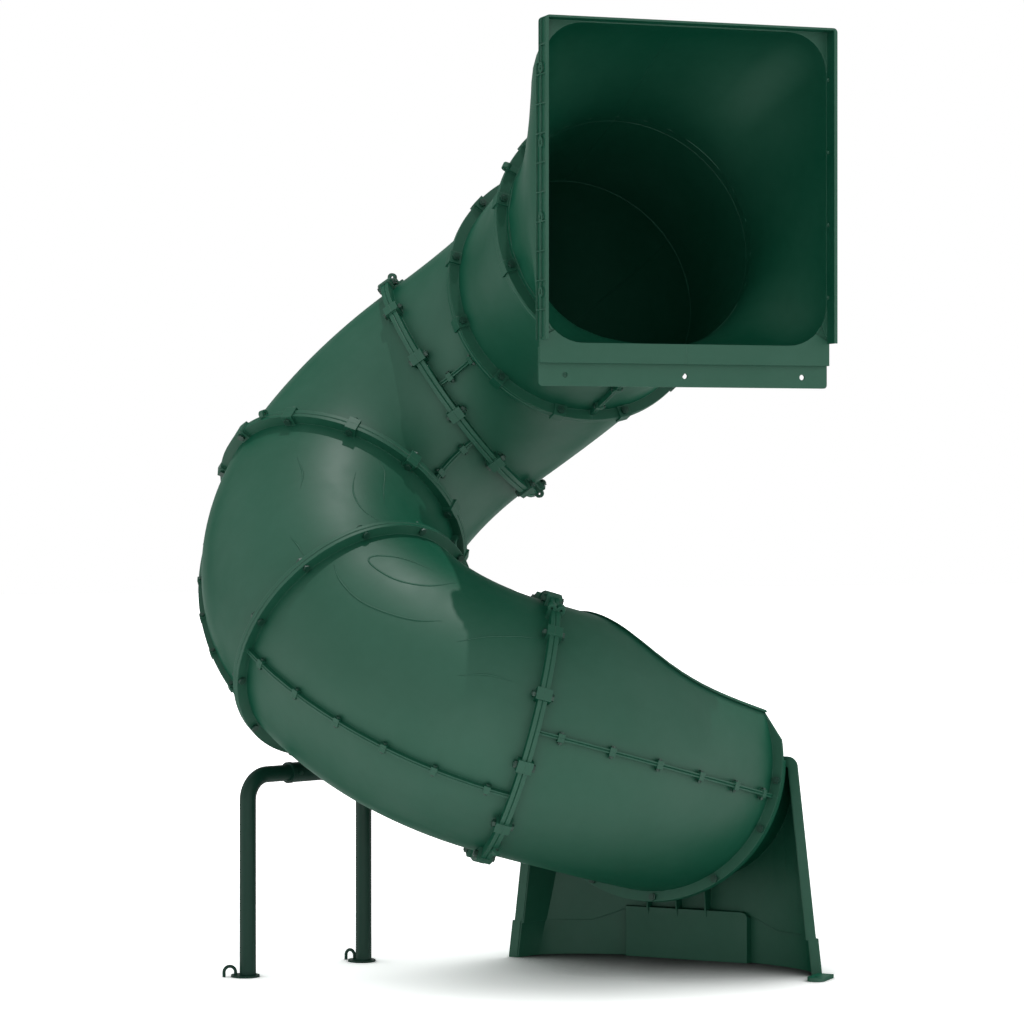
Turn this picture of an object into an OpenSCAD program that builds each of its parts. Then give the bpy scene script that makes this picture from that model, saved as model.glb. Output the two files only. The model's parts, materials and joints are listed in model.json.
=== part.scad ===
// Spiral tube slide for a play deck: square entrance hood, straight collar, four bends of
// one pattern that each turn on the last by one bolt hole, an open-topped exit tube, an exit
// stand and a bent-tube support. Millimetres, +Z up. The origin is the middle bolt hole of
// the deck plate, on the face that meets the deck; the rider leaves along +Y and turns left.

/* [Tube] */
// Inside diameter of the slide tube
tube_d = 610; // [560:5:660]
// Wall of the tube shells
wall = 6; // [5:0.5:8]
// Radius of each bend, to the middle of the tube
bend_r = 495; // [470:5:560]
// Angle that each bend turns through
bend_angle = 55; // [48:1:58]
// Slope of the collar below level
slope = 18; // [15:1:20]
// Length of the straight collar
collar_len = 375; // [320:5:420]

/* [Ring joints] */
// Bolts round one ring joint
ring_bolt_count = 12; // [12:12:12]
// Bolt holes that the first bend is turned from the seam of the collar
first_turn_holes = 2; // [2:1:2]
// Radial height of the ring flanges above the tube
flange_h = 25; // [22:1:32]
// Thickness of one ring flange
flange_t = 11; // [8:0.5:14]
// Depth of one bolt pad, along the tube
pad_t = 18.5; // [15:0.5:24]
// Width of one bolt pad, round the tube
pad_w = 30; // [26:1:38]
// Height of a bolt pad above the flange
pad_rise = 4; // [2:0.5:6]
// Diameter of the ring bolts
ring_bolt_d = 10; // [8:1:12]

/* [Seams] */
// Height of the seam flanges above the tube
seam_h = 13; // [12:1:18]
// Thickness of one seam flange
seam_t = 5; // [4:0.5:8]
// Length of a seam pad, along the seam
seam_pad_w = 16; // [14:1:24]
// Thickness of one seam pad
seam_pad_t = 10; // [8:0.5:14]
// Bolts along the long outer seam of a bend
seam_bolt_count = 6; // [4:1:6]
// Bolts along the short inner seam of a bend
inner_bolt_count = 2; // [1:1:2]
// Bolts along each seam of the collar
collar_bolt_count = 3; // [2:1:4]
// Diameter of the seam bolts
seam_bolt_d = 6; // [5:1:7]

/* [Lifting ears] */
// Radius of the rounded end of an ear
ear_r = 11; // [10:1:15]
// Diameter of the eye in an ear
ear_hole_d = 7; // [5:1:9]
// Distance from the edge of the flange to the eye
ear_reach = 3; // [2:1:12]
// Thickness of an ear
ear_t = 14; // [10:1:18]

/* [Entrance hood] */
// Width of the hood across its rims
hood_w = 720; // [700:5:760]
// Height from the bolt row to the top of the hood
hood_top = 809; // [780:5:860]
// Height from the bolt row to the foot of the side rims
rim_foot = 78; // [74:1:90]
// How far the rims stand in front of the deck plate
rim_front = 53; // [40:1:60]
// Depth of the rims from front to back
rim_depth = 65; // [60:1:90]
// Depth of the rims over their uppermost part
rim_top_depth = 48; // [44:1:56]
// Height of that part
rim_top_h = 101; // [80:1:110]
// Thickness over the ribs of a side rim
rim_t = 10; // [9:0.5:14]
// Height of the rim over the opening
rim_top = 5; // [4:0.5:10]
// Radius of the rims' outer corners
rim_corner_r = 10; // [6:1:16]
// Corner radius of the opening
opening_r = 98; // [70:2:140]
// Height from the bolt row to the sill's top
sill_top = 72; // [60:1:90]
// Height from the bolt row to the sill's lower edge
sill_foot = 27; // [20:1:32]
// How far the sill stands in front of the deck plate
sill_step = 12; // [8:1:16]
// Wall of the hood
hood_wall = 5; // [4:0.5:7]
// Ring joint behind the hood: distance behind the deck plate's face
ring_1_y = 361; // [340:1:400]
// Ring joint behind the hood: height above the bolt row
ring_1_z = 343; // [330:1:360]

/* [Side bolts] */
// Bolt holes up each side rim
side_bolt_count = 4; // [2:1:4]
// Spacing of the side bolt holes
side_bolt_gap = 169; // [150:1:172]
// Height of the lowest side bolt hole
side_bolt_z = 186; // [180:1:200]
// Diameter of the side bolt holes
side_hole_d = 11; // [9:0.5:13]
// Cross ribs on a side rim
rib_count = 10; // [6:1:12]

/* [Deck plate] */
// Width of the deck plate
plate_w = 714; // [690:1:730]
// Thickness of the deck plate
plate_t = 6; // [5:0.5:10]
// Distance from the bolt row to the plate's lower edge
plate_drop = 25.5; // [20:0.5:40]
// Spacing of the three deck bolt holes
deck_bolt_gap = 294; // [250:1:310]
// Diameter of the deck bolt holes
deck_hole_d = 13; // [9:0.5:14]

/* [Exit tube] */
// Height of the cut side walls above the seam, at the exit
side_wall_h = 199; // [170:1:215]
// Length over which the cut sweeps down
cut_sweep = 98; // [90:2:120]
// Distance from the middle of the bend back to the start of the cut
cut_start = 116; // [100:1:135]
// Width of the rolled lip along the cut
lip_w = 5; // [4:0.5:10]
// Thickness of the rolled lip
lip_t = 6; // [5:0.5:10]
// Angle of the bolt hole in the end flange's upper part, above the seam
upper_hole_a = 7; // [6:0.5:9]

/* [Exit stand] */
// Height of the exit ring's centre above the ground
exit_h = 503; // [485:1:520]
// Width of the stand at the ground, below its plinth
stand_w = 834; // [810:2:860]
// Width of the stand level with the exit ring's centre
stand_top_w = 720; // [716:2:740]
// Height of the arms above the exit ring's centre
arm_rise = 32; // [20:1:50]
// Depth of the stand from its back edge to its rounded front
stand_depth = 185; // [165:5:205]
// Angle that the stand's sides slant inward
stand_slant = 19; // [16:1:24]
// Distance from the exit ring's centre out to the stand's back edge
stand_back = 30; // [20:1:40]
// Wall of the stand
stand_wall = 6; // [5:0.5:8]
// Width of the turned-in rim round the stand's open back
back_rim = 25; // [20:1:30]
// Height of the plinth band round the stand's foot
plinth_h = 94; // [60:2:110]
// How far the plinth band stands out
plinth_out = 6; // [3:0.5:8]
// Width of the toe recess
toe_w = 331; // [300:1:350]
// Height of the toe recess
toe_h = 127; // [100:1:135]
// Depth of the toe recess behind the front of the stand
toe_depth = 36; // [28:2:50]
// How far the toe recess lies to the right of the stand's middle
toe_shift = 2; // [-10:1:20]

/* [Support] */
// Diameter of the bent posts
post_d = 40; // [36:1:42]
// Wall of the posts
post_wall = 2.5; // [2:0.25:4]
// Distance between the two posts
post_gap = 379; // [360:1:420]
// Distance from the ring joint's lowest point down to the sleeve's axis
sleeve_drop = 45; // [42:0.5:50]
// Bend radius of the posts
post_bend_r = 60; // [55:1:75]
// Wall of the sleeve that joins the posts
sleeve_wall = 4.5; // [3:0.5:5]
// Length of the sleeve
sleeve_len = 125; // [110:1:140]
// How far the sleeve's middle lies from the lowest point of its ring joint
sleeve_shift = 19.5; // [10:0.5:26]
// How far the support is turned from square to the tube
support_turn = 4.5; // [0:0.5:6]
// Thickness of the saddle's plate
saddle_t = 6; // [5:0.5:8]
// Diameter of the foot discs
foot_d = 70; // [68:1:90]
// How far a foot disc is moved from under its post towards the staple
foot_shift = 6; // [0:0.5:8]
// Thickness of the foot discs
foot_t = 5; // [4:0.5:8]
// Diameter of the staple rod
staple_d = 8; // [6:0.5:9]
// Distance between the legs of a staple
staple_gap = 28; // [24:1:34]
// Height of a staple above the ground
staple_h = 30; // [26:1:50]

/* [Hidden] */

plastic = "#2a6049";
plastic_dark = "#1f5340";
steel = "#1d4434";
zinc = "#27513f";
$fn = 96;

// Clearance between a pin or bolt and its hole, on the radius
fit_gap = 0.5;
// Clearance between a post and the sleeve it slides in, on the radius
slide_gap = 0.25;
// Small overlap that lets joined solids share a volume
weld = 2;
// Chamfer along the edges where two mouldings meet
edge = 2;

tube_r = tube_d / 2;
tube_ro = tube_r + wall;
flange_r = tube_ro + flange_h;
pad_r = flange_r + pad_rise;
ring_bolt_r = (tube_ro + pad_r) / 2;
hole_step = 360 / ring_bolt_count;
seam_r = tube_ro + seam_h;
seam_bolt_r = tube_ro + seam_h * 0.56;
ground_z = exit_ring()[0][2] - exit_h;

// Vectors and frames. A frame is [centre, direction of travel, direction to the bend's centre].

function unit(v) = v / norm(v);
function turned(v, axis, a) =
    v * cos(a) + cross(axis, v) * sin(a) + axis * (axis * v) * (1 - cos(a));
function collar_dir() = [0, cos(slope), -sin(slope)];
function collar_down() = [0, -sin(slope), -cos(slope)];
function ring_1() = [[0, ring_1_y, ring_1_z], collar_dir(), collar_down()];
function ring_2() = [
    ring_1()[0] + collar_len * collar_dir(),
    collar_dir(),
    turned(collar_down(), collar_dir(), first_turn_holes * hole_step)
];
function bend_end(f, a = bend_angle) = [
    f[0] + bend_r * (1 - cos(a)) * f[2] + bend_r * sin(a) * f[1],
    sin(a) * f[2] + cos(a) * f[1],
    cos(a) * f[2] - sin(a) * f[1]
];
function next_bend(f) = let (e = bend_end(f)) [e[0], e[1], turned(e[2], e[1], -hole_step)];
function bend_frame(k) = k == 1 ? ring_2() : next_bend(bend_frame(k - 1));
function exit_ring() = bend_end(bend_frame(5));

module at(f) {
    side = cross(f[1], f[2]);
    multmatrix([
        [f[2][0], side[0], f[1][0], f[0][0]],
        [f[2][1], side[1], f[1][1], f[0][1]],
        [f[2][2], side[2], f[1][2], f[0][2]],
        [0, 0, 0, 1]
    ]) children();
}

// Shared pieces of the moulded sections. In a section's own frame +Z is the direction of
// travel, +X points at the bend's centre, and the seam lies in the plane Y = 0.

module half_ring(r_in, r_out) {
    intersection() {
        difference() {
            circle(r = r_out);
            circle(r = r_in);
        }
        translate([-r_out - 1, 0]) square([2 * r_out + 2, r_out + 1]);
    }
}

// Takes the sharp inner edge off the end of a tube that starts at Z = 0
module inner_chamfer() {
    rotate_extrude($fn = 180)
        polygon([[tube_r - 1, -1], [tube_r + edge + 1, -1], [tube_r - 1, edge + 1]]);
}

// Section of a flange from x0 to x1 and t thick; way says which of its free corners at y = 0
// is chamfered: 1 for the one at x1 and -1 for the one at x0
module chamfered(x0, x1, t, way) {
    polygon(way > 0
        ? [[x0, 0], [x1 - edge, 0], [x1, edge], [x1, t], [x0, t]]
        : [[x0, edge], [x0 + edge, 0], [x1, 0], [x1, t], [x0, t]]);
}

// Both seam flanges of a section, drawn at a distance r0 from the middle of the tube's bend
module seam_flanges(r0) {
    chamfered(r0 + tube_ro - weld, r0 + seam_r, seam_t, 1);
    chamfered(r0 - seam_r, r0 - tube_ro + weld, seam_t, -1);
}

function half_holes() = [for (i = [0 : ring_bolt_count / 2 - 1]) (i + 0.5) * hole_step];

module end_flange(pads, holes = half_holes()) {
    difference() {
        union() {
            rotate_extrude(angle = 180, $fn = 180)
                chamfered(tube_r + wall / 2, flange_r, flange_t, 1);
            if (pads)
                linear_extrude(pad_t)
                    for (a = holes)
                        rotate(a)
                            translate([tube_ro - weld, -pad_w / 2])
                                square([pad_r - tube_ro + weld, pad_w]);
        }
        for (a = holes)
            rotate(a)
                translate([ring_bolt_r, 0, -1])
                    cylinder(d = ring_bolt_d + 2 * fit_gap, h = pad_t + 2, $fn = 24);
    }
}

module ear(a, t = pad_t) {
    eye = flange_r + ear_reach;
    rotate(a)
        difference() {
            union() {
                translate([tube_ro - weld, -ear_t / 2, 0])
                    cube([eye - tube_ro + weld, ear_t, t]);
                translate([eye, ear_t / 2, ear_r])
                    rotate([90, 0, 0])
                        cylinder(r = ear_r, h = ear_t, $fn = 48);
            }
            translate([eye, ear_t, ear_r])
                rotate([90, 0, 0])
                    cylinder(d = ear_hole_d, h = 2 * ear_t, $fn = 32);
        }
}

// Turns a revolved profile, drawn at x = distance from the bend's centre, into the section's frame
module bent(a = bend_angle) {
    translate([bend_r, 0, 0])
        rotate([90, 0, 180])
            rotate_extrude(angle = a, $fn = 180)
                children();
}

module along_bend(s) {
    translate([bend_r, 0, 0])
        rotate([0, s, 0])
            translate([-bend_r, 0, 0])
                children();
}

// Bolts of a bend's seams, as [angle along the bend, side]: side 1 is the inner seam
function seam_stops() = concat(
    [for (i = [0 : seam_bolt_count - 1]) [bend_angle * (i + 0.5) / seam_bolt_count, -1]],
    [for (i = [0 : inner_bolt_count - 1]) [bend_angle * (i + 0.5) / inner_bolt_count, 1]]
);

module seam_pad(side) {
    translate([side > 0 ? tube_ro - weld : -seam_r - 2, 0, -seam_pad_w / 2])
        cube([seam_h + weld + 2, seam_pad_t, seam_pad_w]);
}

module seam_hole(side) {
    translate([side * seam_bolt_r, -1, 0])
        rotate([-90, 0, 0])
            cylinder(d = seam_bolt_d + 2 * fit_gap, h = seam_pad_t + 2, $fn = 24);
}

// One half shell of a bend, on the +Y side of the seam
module bend_half(pads_in = true, pads_out = true) {
    difference() {
        union() {
            bent() translate([bend_r, 0]) half_ring(tube_r, tube_ro);
            bent() seam_flanges(bend_r);
            for (s = seam_stops())
                along_bend(s[0]) seam_pad(s[1]);
            end_flange(pads_in);
            along_bend(bend_angle) {
                mirror([0, 0, 1]) end_flange(pads_out);
                if (pads_out) mirror([0, 0, 1]) ear(90);
            }
        }
        for (s = seam_stops())
            along_bend(s[0]) seam_hole(s[1]);
        inner_chamfer();
        along_bend(bend_angle) mirror([0, 0, 1]) inner_chamfer();
    }
}

module collar_half() {
    stops = [for (i = [0 : collar_bolt_count - 1]) collar_len * (i + 0.5) / collar_bolt_count];
    difference() {
        union() {
            linear_extrude(collar_len) half_ring(tube_r, tube_ro);
            linear_extrude(collar_len) seam_flanges(0);
            for (z = stops, side = [-1, 1])
                translate([0, 0, z]) seam_pad(side);
            end_flange(true);
            translate([0, 0, collar_len]) mirror([0, 0, 1]) end_flange(true);
        }
        for (z = stops, side = [-1, 1])
            translate([0, 0, z]) seam_hole(side);
        inner_chamfer();
        translate([0, 0, collar_len]) mirror([0, 0, 1]) inner_chamfer();
    }
}

// A hexagon bolt along Z with its nut; the grip runs from z = -low to z = high
module bolt(d, low, high) {
    head_h = d * 0.64;
    nut_h = d * 0.8;
    translate([0, 0, high]) cylinder(d = d * 1.9, h = head_h, $fn = 6);
    translate([0, 0, -low - nut_h - 2]) cylinder(d = d, h = low + high + nut_h + 2.5, $fn = 24);
    translate([0, 0, -low - nut_h])
        difference() {
            cylinder(d = d * 1.9, h = nut_h, $fn = 6);
            translate([0, 0, -1]) cylinder(d = d + 0.2, h = nut_h + 2, $fn = 24);
        }
}

module ring_bolts(holes, low, high) {
    for (a = holes)
        rotate(a)
            translate([ring_bolt_r, 0, 0])
                bolt(ring_bolt_d, low, high);
}

function all_holes() = [for (i = [0 : ring_bolt_count - 1]) (i + 0.5) * hole_step];
function exit_holes() = concat([180 - upper_hole_a],
    [for (a = half_holes()) a + 180]);

module bend_seam_bolts() {
    for (s = seam_stops())
        along_bend(s[0])
            translate([s[1] * seam_bolt_r, 0, 0])
                rotate([-90, 0, 0])
                    bolt(seam_bolt_d, seam_pad_t, seam_pad_t);
}

// Entrance hood. Each half is drawn on the +X side in the part's own axes.

hood_half_w = hood_w / 2;
rim_web = rim_t - 4;
jamb_x = hood_half_w - rim_t;
hood_ceiling = hood_top - rim_top - 2;
loft_start = -sill_step + 3;
loft_steps = 14;
corner_steps = 9;
// Straight spigot between the shaped skin and the ring joint
spigot = 24;
// Depth of the wedge grooves in the face plate
groove_depth = 4;
// Tab on the hood's top seam: radius, thickness of one half and place behind the deck face
tab_r = 13;
tab_t = 7;
tab_y = 36;

// Half outline of the opening, from the middle of the sill up to the middle of the top
function opening_half(w, z0, z1, r) = concat(
    [for (i = [0 : 2]) [(w - r) * i / 3, z0]],
    [for (i = [0 : corner_steps]) let (a = 90 * i / corner_steps)
        [w - r + r * sin(a), z0 + r - r * cos(a)]],
    [for (i = [1 : 4]) [w, z0 + r + (z1 - z0 - 2 * r) * i / 5]],
    [for (i = [0 : corner_steps]) let (a = 90 * i / corner_steps)
        [w - r + r * cos(a), z1 - r + r * sin(a)]],
    [for (i = [0 : 2]) [(w - r) * (2 - i) / 3, z1]]
);

// A point of the hood's skin: u counts round the opening, v runs from the front to the ring
function hood_square(off) =
    opening_half(jamb_x + 1.4 + 0.8 * off, sill_top - off, hood_ceiling + off, opening_r + off);
function hood_point(q, v, off) =
    let (
        w = jamb_x + off,
        mid = (sill_top + hood_ceiling) / 2,
        high = (hood_ceiling - sill_top) / 2 + off,
        a = atan2(q[0] / w, -(q[1] - mid) / high),
        start = [q[0], loft_start, q[1]],
        finish = ring_1()[0] - (spigot - weld) * collar_dir()
            + (tube_r + 0.9 + off / hood_wall * (wall - 1.3))
            * (cos(a) * collar_down() + sin(a) * [1, 0, 0]),
        reach = norm(finish - start)
    )
    start * (2 * v * v * v - 3 * v * v + 1)
    + finish * (3 * v * v - 2 * v * v * v)
    + [0, reach, 0] * (v * v * v - 2 * v * v + v)
    + collar_dir() * reach * (v * v * v - v * v);

module hood_skin() {
    inner = hood_square(0);
    outer = hood_square(hood_wall);
    m = len(inner);
    rows = [for (j = [0 : loft_steps]) let (v = j / loft_steps)
        concat(
            [for (q = outer) hood_point(q, v, hood_wall)],
            [for (i = [m - 1 : -1 : 0]) hood_point(inner[i], v, 0)]
        )];
    n = 2 * m;
    points = [for (row = rows, p = row) p];
    sides = [for (j = [0 : loft_steps - 1], i = [0 : n - 1]) let (k = (i + 1) % n)
        each [[j * n + i, j * n + k, (j + 1) * n + k],
              [j * n + i, (j + 1) * n + k, (j + 1) * n + i]]];
    front = [for (i = [0 : m - 2])
        each [[i, n - 1 - i, n - 2 - i], [i, n - 2 - i, i + 1]]];
    last = loft_steps * n;
    back = [for (f = front) [last + f[2], last + f[1], last + f[0]]];
    polyhedron(points = points, faces = concat(sides, front, back), convexity = 6);
}

// The hood's outer line in the plane X = 0 as [y, z]: way 1 along the top, way -1 along the foot
function seam_line(way, v) =
    let (p = hood_point([0, way > 0 ? hood_ceiling + hood_wall : sill_top - hood_wall], v, hood_wall))
    [p[1], p[2]];
function seam_lean(way, v) =
    let (d = seam_line(way, v + 0.01) - seam_line(way, v - 0.01)) atan2(d[1], d[0]);
function side_of(path, i) =
    let (d = path[min(i + 1, len(path) - 1)] - path[max(i - 1, 0)]) [-d[1], d[0]] / norm(d);

// A seam fin that stands on that line, from v0 back to the ring joint
module hood_fin(way, v0) {
    steps = 8;
    loft = [for (i = [0 : steps]) seam_line(way, v0 + (1 - v0) * i / steps)];
    path = concat(loft, [loft[steps] + (spigot - weld) * [collar_dir()[1], collar_dir()[2]]]);
    rotate([90, 0, 90])
        linear_extrude(seam_t)
            polygon(concat(
                [for (i = [0 : steps + 1]) path[i] - way * weld * side_of(path, i)],
                [for (i = [steps + 1 : -1 : 0]) path[i] + way * seam_h * side_of(path, i)]
            ));
}

// Places its children on the hood's seams, with +Z away from the skin
module hood_seam_places() {
    for (stop = [[1, 0.5], [1, 0.78], [-1, 0.3], [-1, 0.62]])
        let (p = seam_line(stop[0], stop[1]))
            translate([0, p[0], p[1]])
                rotate([seam_lean(stop[0], stop[1]) + (stop[0] > 0 ? 0 : 180), 0, 0])
                    children();
}

module side_rim() {
    rim_h = hood_top - rim_foot;
    low_h = rim_h - rim_top_h;
    first_rib = 66;
    rib_gap = (rim_h - 2 * first_rib) / (rib_count - 1);
    translate([jamb_x + 2, -rim_front, rim_foot]) {
        cube([rim_web - 2, rim_depth, low_h]);
        cube([rim_web - 2, rim_top_depth, rim_h]);
        cube([rim_t - 2, 3, rim_h]);
        translate([0, rim_depth - 3, 0]) cube([rim_t - 2, 3, low_h]);
        translate([0, rim_top_depth - 3, low_h - 3]) cube([rim_t - 2, 3, rim_top_h + 3]);
        translate([0, rim_top_depth - 3, low_h - 3])
            cube([rim_t - 2, rim_depth - rim_top_depth + 3, 3]);
        translate([0, 33, 6]) cube([rim_t - 3, 4, rim_h - 6]);
        for (i = [0 : rib_count - 1])
            let (z = first_rib + i * rib_gap)
                translate([0, 0, z])
                    cube([rim_t - 2, z < low_h ? rim_depth : rim_top_depth, 3]);
    }
    for (i = [0 : side_bolt_count - 1])
        translate([jamb_x + 2, -rim_front + 35, side_bolt_z + i * side_bolt_gap])
            rotate([0, 90, 0])
                cylinder(r = 13, h = rim_t - 2, $fn = 48);
}

// Takes the sharp corner off the top of a rim
module rim_corner() {
    steps = 5;
    r = rim_corner_r;
    translate([hood_half_w - r, rim_depth, hood_top - r])
        rotate([90, 0, 0])
            linear_extrude(rim_front + 2 * rim_depth)
                polygon(concat(
                    [[r + 2, -0.5], [r + 2, r + 2], [-0.5, r + 2]],
                    [for (i = [0 : steps]) let (a = 90 - 90 * i / steps) [r * cos(a), r * sin(a)]]
                ));
}

// Wedge groove in the face plate, from the corner of the opening to the foot of the rim
module corner_groove() {
    translate([0, -sill_step + groove_depth, 0])
        rotate([90, 0, 0])
            linear_extrude(10)
                polygon([
                    [jamb_x - 33, sill_top + 33], [jamb_x - 20, sill_top + 48],
                    [jamb_x - 10, sill_top + 46], [jamb_x - 4, sill_top + 29],
                    [jamb_x + 1.5, sill_top + 21], [jamb_x + 1.5, sill_top + 14]
                ]);
}

// Tab in the middle of the top rim, where the two halves are bolted together
module top_tab() {
    difference() {
        translate([0, tab_y, hood_top - 4])
            rotate([0, 90, 0])
                cylinder(r = tab_r, h = tab_t, $fn = 48);
        translate([-1, tab_y - 2 * tab_r, hood_top - 8 - 2 * tab_r])
            cube([tab_t + 2, 4 * tab_r, 2 * tab_r]);
    }
}

module top_tab_place() {
    translate([0, tab_y, hood_top + tab_r / 2 - 4])
        rotate([0, 90, 0])
            children();
}

module hood_half() {
    difference() {
        union() {
            // Top rim
            translate([0, -rim_front, hood_top - rim_top])
                cube([hood_half_w - 1, rim_top_depth, rim_top]);
            side_rim();
            top_tab();
            // Face plate with the rounded corners, and the sill below the opening
            difference() {
                translate([0, -sill_step, sill_foot])
                    cube([hood_half_w - 2, sill_step / 2, hood_top - sill_foot - 2]);
                translate([0, 1, 0])
                    rotate([90, 0, 0])
                        linear_extrude(sill_step + 3)
                            polygon(concat(
                                [[-1, sill_top + 1]],
                                opening_half(jamb_x + 2.4, sill_top + 1, hood_ceiling - 1, opening_r),
                                [[-1, hood_ceiling - 1]]
                            ));
                corner_groove();
            }
            translate([0, -sill_step, sill_foot])
                cube([hood_half_w - 3, sill_step, sill_top - sill_foot - 2]);
            hood_skin();
            // Seam fins above and below, and their pads
            hood_fin(1, 0.16);
            hood_fin(-1, 0.14);
            hood_seam_places()
                translate([0, -seam_pad_w / 2, -weld])
                    cube([seam_pad_t, seam_pad_w, seam_h + weld + 2]);
            // Spigot with the rear ring flange
            at(ring_1()) mirror([0, 1, 0]) mirror([0, 0, 1]) {
                linear_extrude(spigot) half_ring(tube_r, tube_ro);
                end_flange(true);
                ear(120);
            }
        }
        hood_seam_places()
            translate([-1, 0, seam_h * 0.56])
                rotate([0, 90, 0])
                    cylinder(d = seam_bolt_d + 2 * fit_gap, h = seam_pad_t + 2, $fn = 24);
        rim_corner();
        top_tab_place()
            translate([0, 0, -1])
                cylinder(d = seam_bolt_d + 2 * fit_gap, h = tab_t + 2, $fn = 24);
        for (i = [0 : side_bolt_count - 1])
            translate([jamb_x - 3, -rim_front + 35, side_bolt_z + i * side_bolt_gap])
                rotate([0, 90, 0])
                    cylinder(d = side_hole_d, h = rim_t + 6, $fn = 32);
        for (x = screw_places())
            translate([x, 1, screw_z])
                rotate([90, 0, 0])
                    cylinder(d = seam_bolt_d + 2 * fit_gap, h = sill_step - 2, $fn = 24);
    }
}

screw_z = (sill_foot + sill_top) / 2 - 4;
function screw_places() = [plate_w * 0.14, plate_w * 0.34];

module hood_left() {
    color(plastic) mirror([1, 0, 0]) hood_half();
}

module hood_right() {
    color(plastic) hood_half();
}

// Flat plate behind the sill that bolts to the edge of the deck
module deck_plate() {
    corner = 8;
    plate_h = plate_drop + sill_top - hood_wall - 5;
    color(plastic)
        difference() {
            union() {
                translate([-plate_w / 2, 0, corner - plate_drop])
                    cube([plate_w, plate_t, plate_h - corner]);
                translate([corner - plate_w / 2, 0, -plate_drop])
                    cube([plate_w - 2 * corner, plate_t, corner + 1]);
                for (x = [-1, 1])
                    translate([x * (plate_w / 2 - corner), plate_t, corner - plate_drop])
                        rotate([90, 0, 0])
                            cylinder(r = corner, h = plate_t, $fn = 48);
            }
            for (i = [-1 : 1])
                translate([i * deck_bolt_gap, plate_t + 1, 0])
                    rotate([90, 0, 0])
                        cylinder(d = deck_hole_d, h = plate_t + 2, $fn = 48);
            for (x = screw_places(), side = [-1, 1])
                translate([side * x, plate_t + 1, screw_z])
                    rotate([90, 0, 0])
                        cylinder(d = seam_bolt_d + 2 * fit_gap, h = plate_t + 2, $fn = 24);
        }
}

module deck_plate_screws() {
    color(zinc)
        for (x = screw_places(), side = [-1, 1])
            translate([side * x, plate_t, screw_z])
                rotate([-90, 0, 0]) {
                    cylinder(d = seam_bolt_d * 1.8, h = seam_bolt_d * 0.6, $fn = 6);
                    translate([0, 0, 3 - plate_t - sill_step])
                        cylinder(d = seam_bolt_d, h = plate_t + sill_step - 2, $fn = 24);
                }
}

module hood_seam_bolts() {
    color(zinc) {
        hood_seam_places()
            translate([0, 0, seam_h * 0.56])
                rotate([0, 90, 0])
                    bolt(seam_bolt_d, seam_pad_t, seam_pad_t);
        top_tab_place() bolt(seam_bolt_d, tab_t, tab_t);
    }
}

// Collar
module collar_left() {
    color(plastic) at(ring_1()) collar_half();
}

module collar_right() {
    color(plastic) at(ring_1()) mirror([0, 1, 0]) collar_half();
}

module collar_seam_bolts() {
    color(zinc)
        at(ring_1())
            for (i = [0 : collar_bolt_count - 1], side = [-1, 1])
                translate([side * seam_bolt_r, 0, collar_len * (i + 0.5) / collar_bolt_count])
                    rotate([-90, 0, 0])
                        bolt(seam_bolt_d, seam_pad_t, seam_pad_t);
}

// The joint over the support has plain flanges without pads
function padded(ring) = ring != 5;

module bend_upper(k) {
    color(plastic) at(bend_frame(k)) bend_half(padded(k + 1), padded(k + 2));
}

module bend_lower(k) {
    color(plastic_dark)
        at(bend_frame(k)) mirror([0, 1, 0]) bend_half(padded(k + 1), padded(k + 2));
}

module bend_bolts(k) {
    color(zinc) at(bend_frame(k)) bend_seam_bolts();
}

// Exit tube: the last bend, with its upper half cut down to two side walls
function cut_height(x) =
    side_wall_h + (tube_ro - side_wall_h) * exp(-(x + cut_start) / cut_sweep);

// Prism of all that the cut takes away, lowered by `drop`, as seen square to the bend
module above_cut(drop) {
    steps = 20;
    x1 = 1.6 * tube_r;
    dip = -cut_start - 34;
    translate([bend_r, 0, 0])
        rotate([0, bend_angle / 2, 0])
            rotate([0, -90, 0])
                translate([0, 0, bend_r - flange_r - 60])
                    linear_extrude(2 * flange_r + 120)
                        polygon(concat(
                            [[x1, flange_r + 90], [dip, flange_r + 90]],
                            [for (i = [0 : steps]) let (x = dip + (x1 - dip) * i / steps)
                                [x, cut_height(x) - drop]]
                        ));
}

// Slopes the ends of the cut-down end flange from its rim to the top of the walls
module flange_slope() {
    rise = 64;
    run = 72;
    top_x = sqrt(tube_ro * tube_ro - side_wall_h * side_wall_h) - 8;
    translate([0, 0, -2 * flange_t])
        linear_extrude(4 * flange_t)
            for (side = [-1, 1])
                polygon([
                    [side * top_x, side_wall_h + 6], [side * (top_x + run), side_wall_h + 6 - rise],
                    [side * (top_x + 2 * run), side_wall_h - rise],
                    [side * (top_x + 2 * run), side_wall_h + rise],
                    [side * top_x, side_wall_h + rise]
                ]);
}

// Half of the exit tube. The upper one has its walls cut down and a lip rolled out along the cut.
module exit_half(upper) {
    difference() {
        union() {
            difference() {
                union() {
                    bent() translate([bend_r, 0]) half_ring(tube_r, tube_ro);
                    if (upper)
                        intersection() {
                            bent() translate([bend_r, 0])
                                half_ring(tube_ro - weld, tube_ro + lip_w);
                            above_cut(lip_t);
                        }
                }
                if (upper) above_cut(0);
            }
            bent() seam_flanges(bend_r);
            for (s = seam_stops())
                along_bend(s[0]) seam_pad(s[1]);
            end_flange(true);
            ear(120);
            difference() {
                along_bend(bend_angle)
                    mirror([0, 0, 1])
                        end_flange(false, upper ? [180 - upper_hole_a] : half_holes());
                if (upper) above_cut(0);
                if (upper) along_bend(bend_angle) flange_slope();
            }
        }
        for (s = seam_stops())
            along_bend(s[0]) seam_hole(s[1]);
    }
}

module exit_tube_upper() {
    color(plastic) at(bend_frame(5)) exit_half(true);
}

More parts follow.
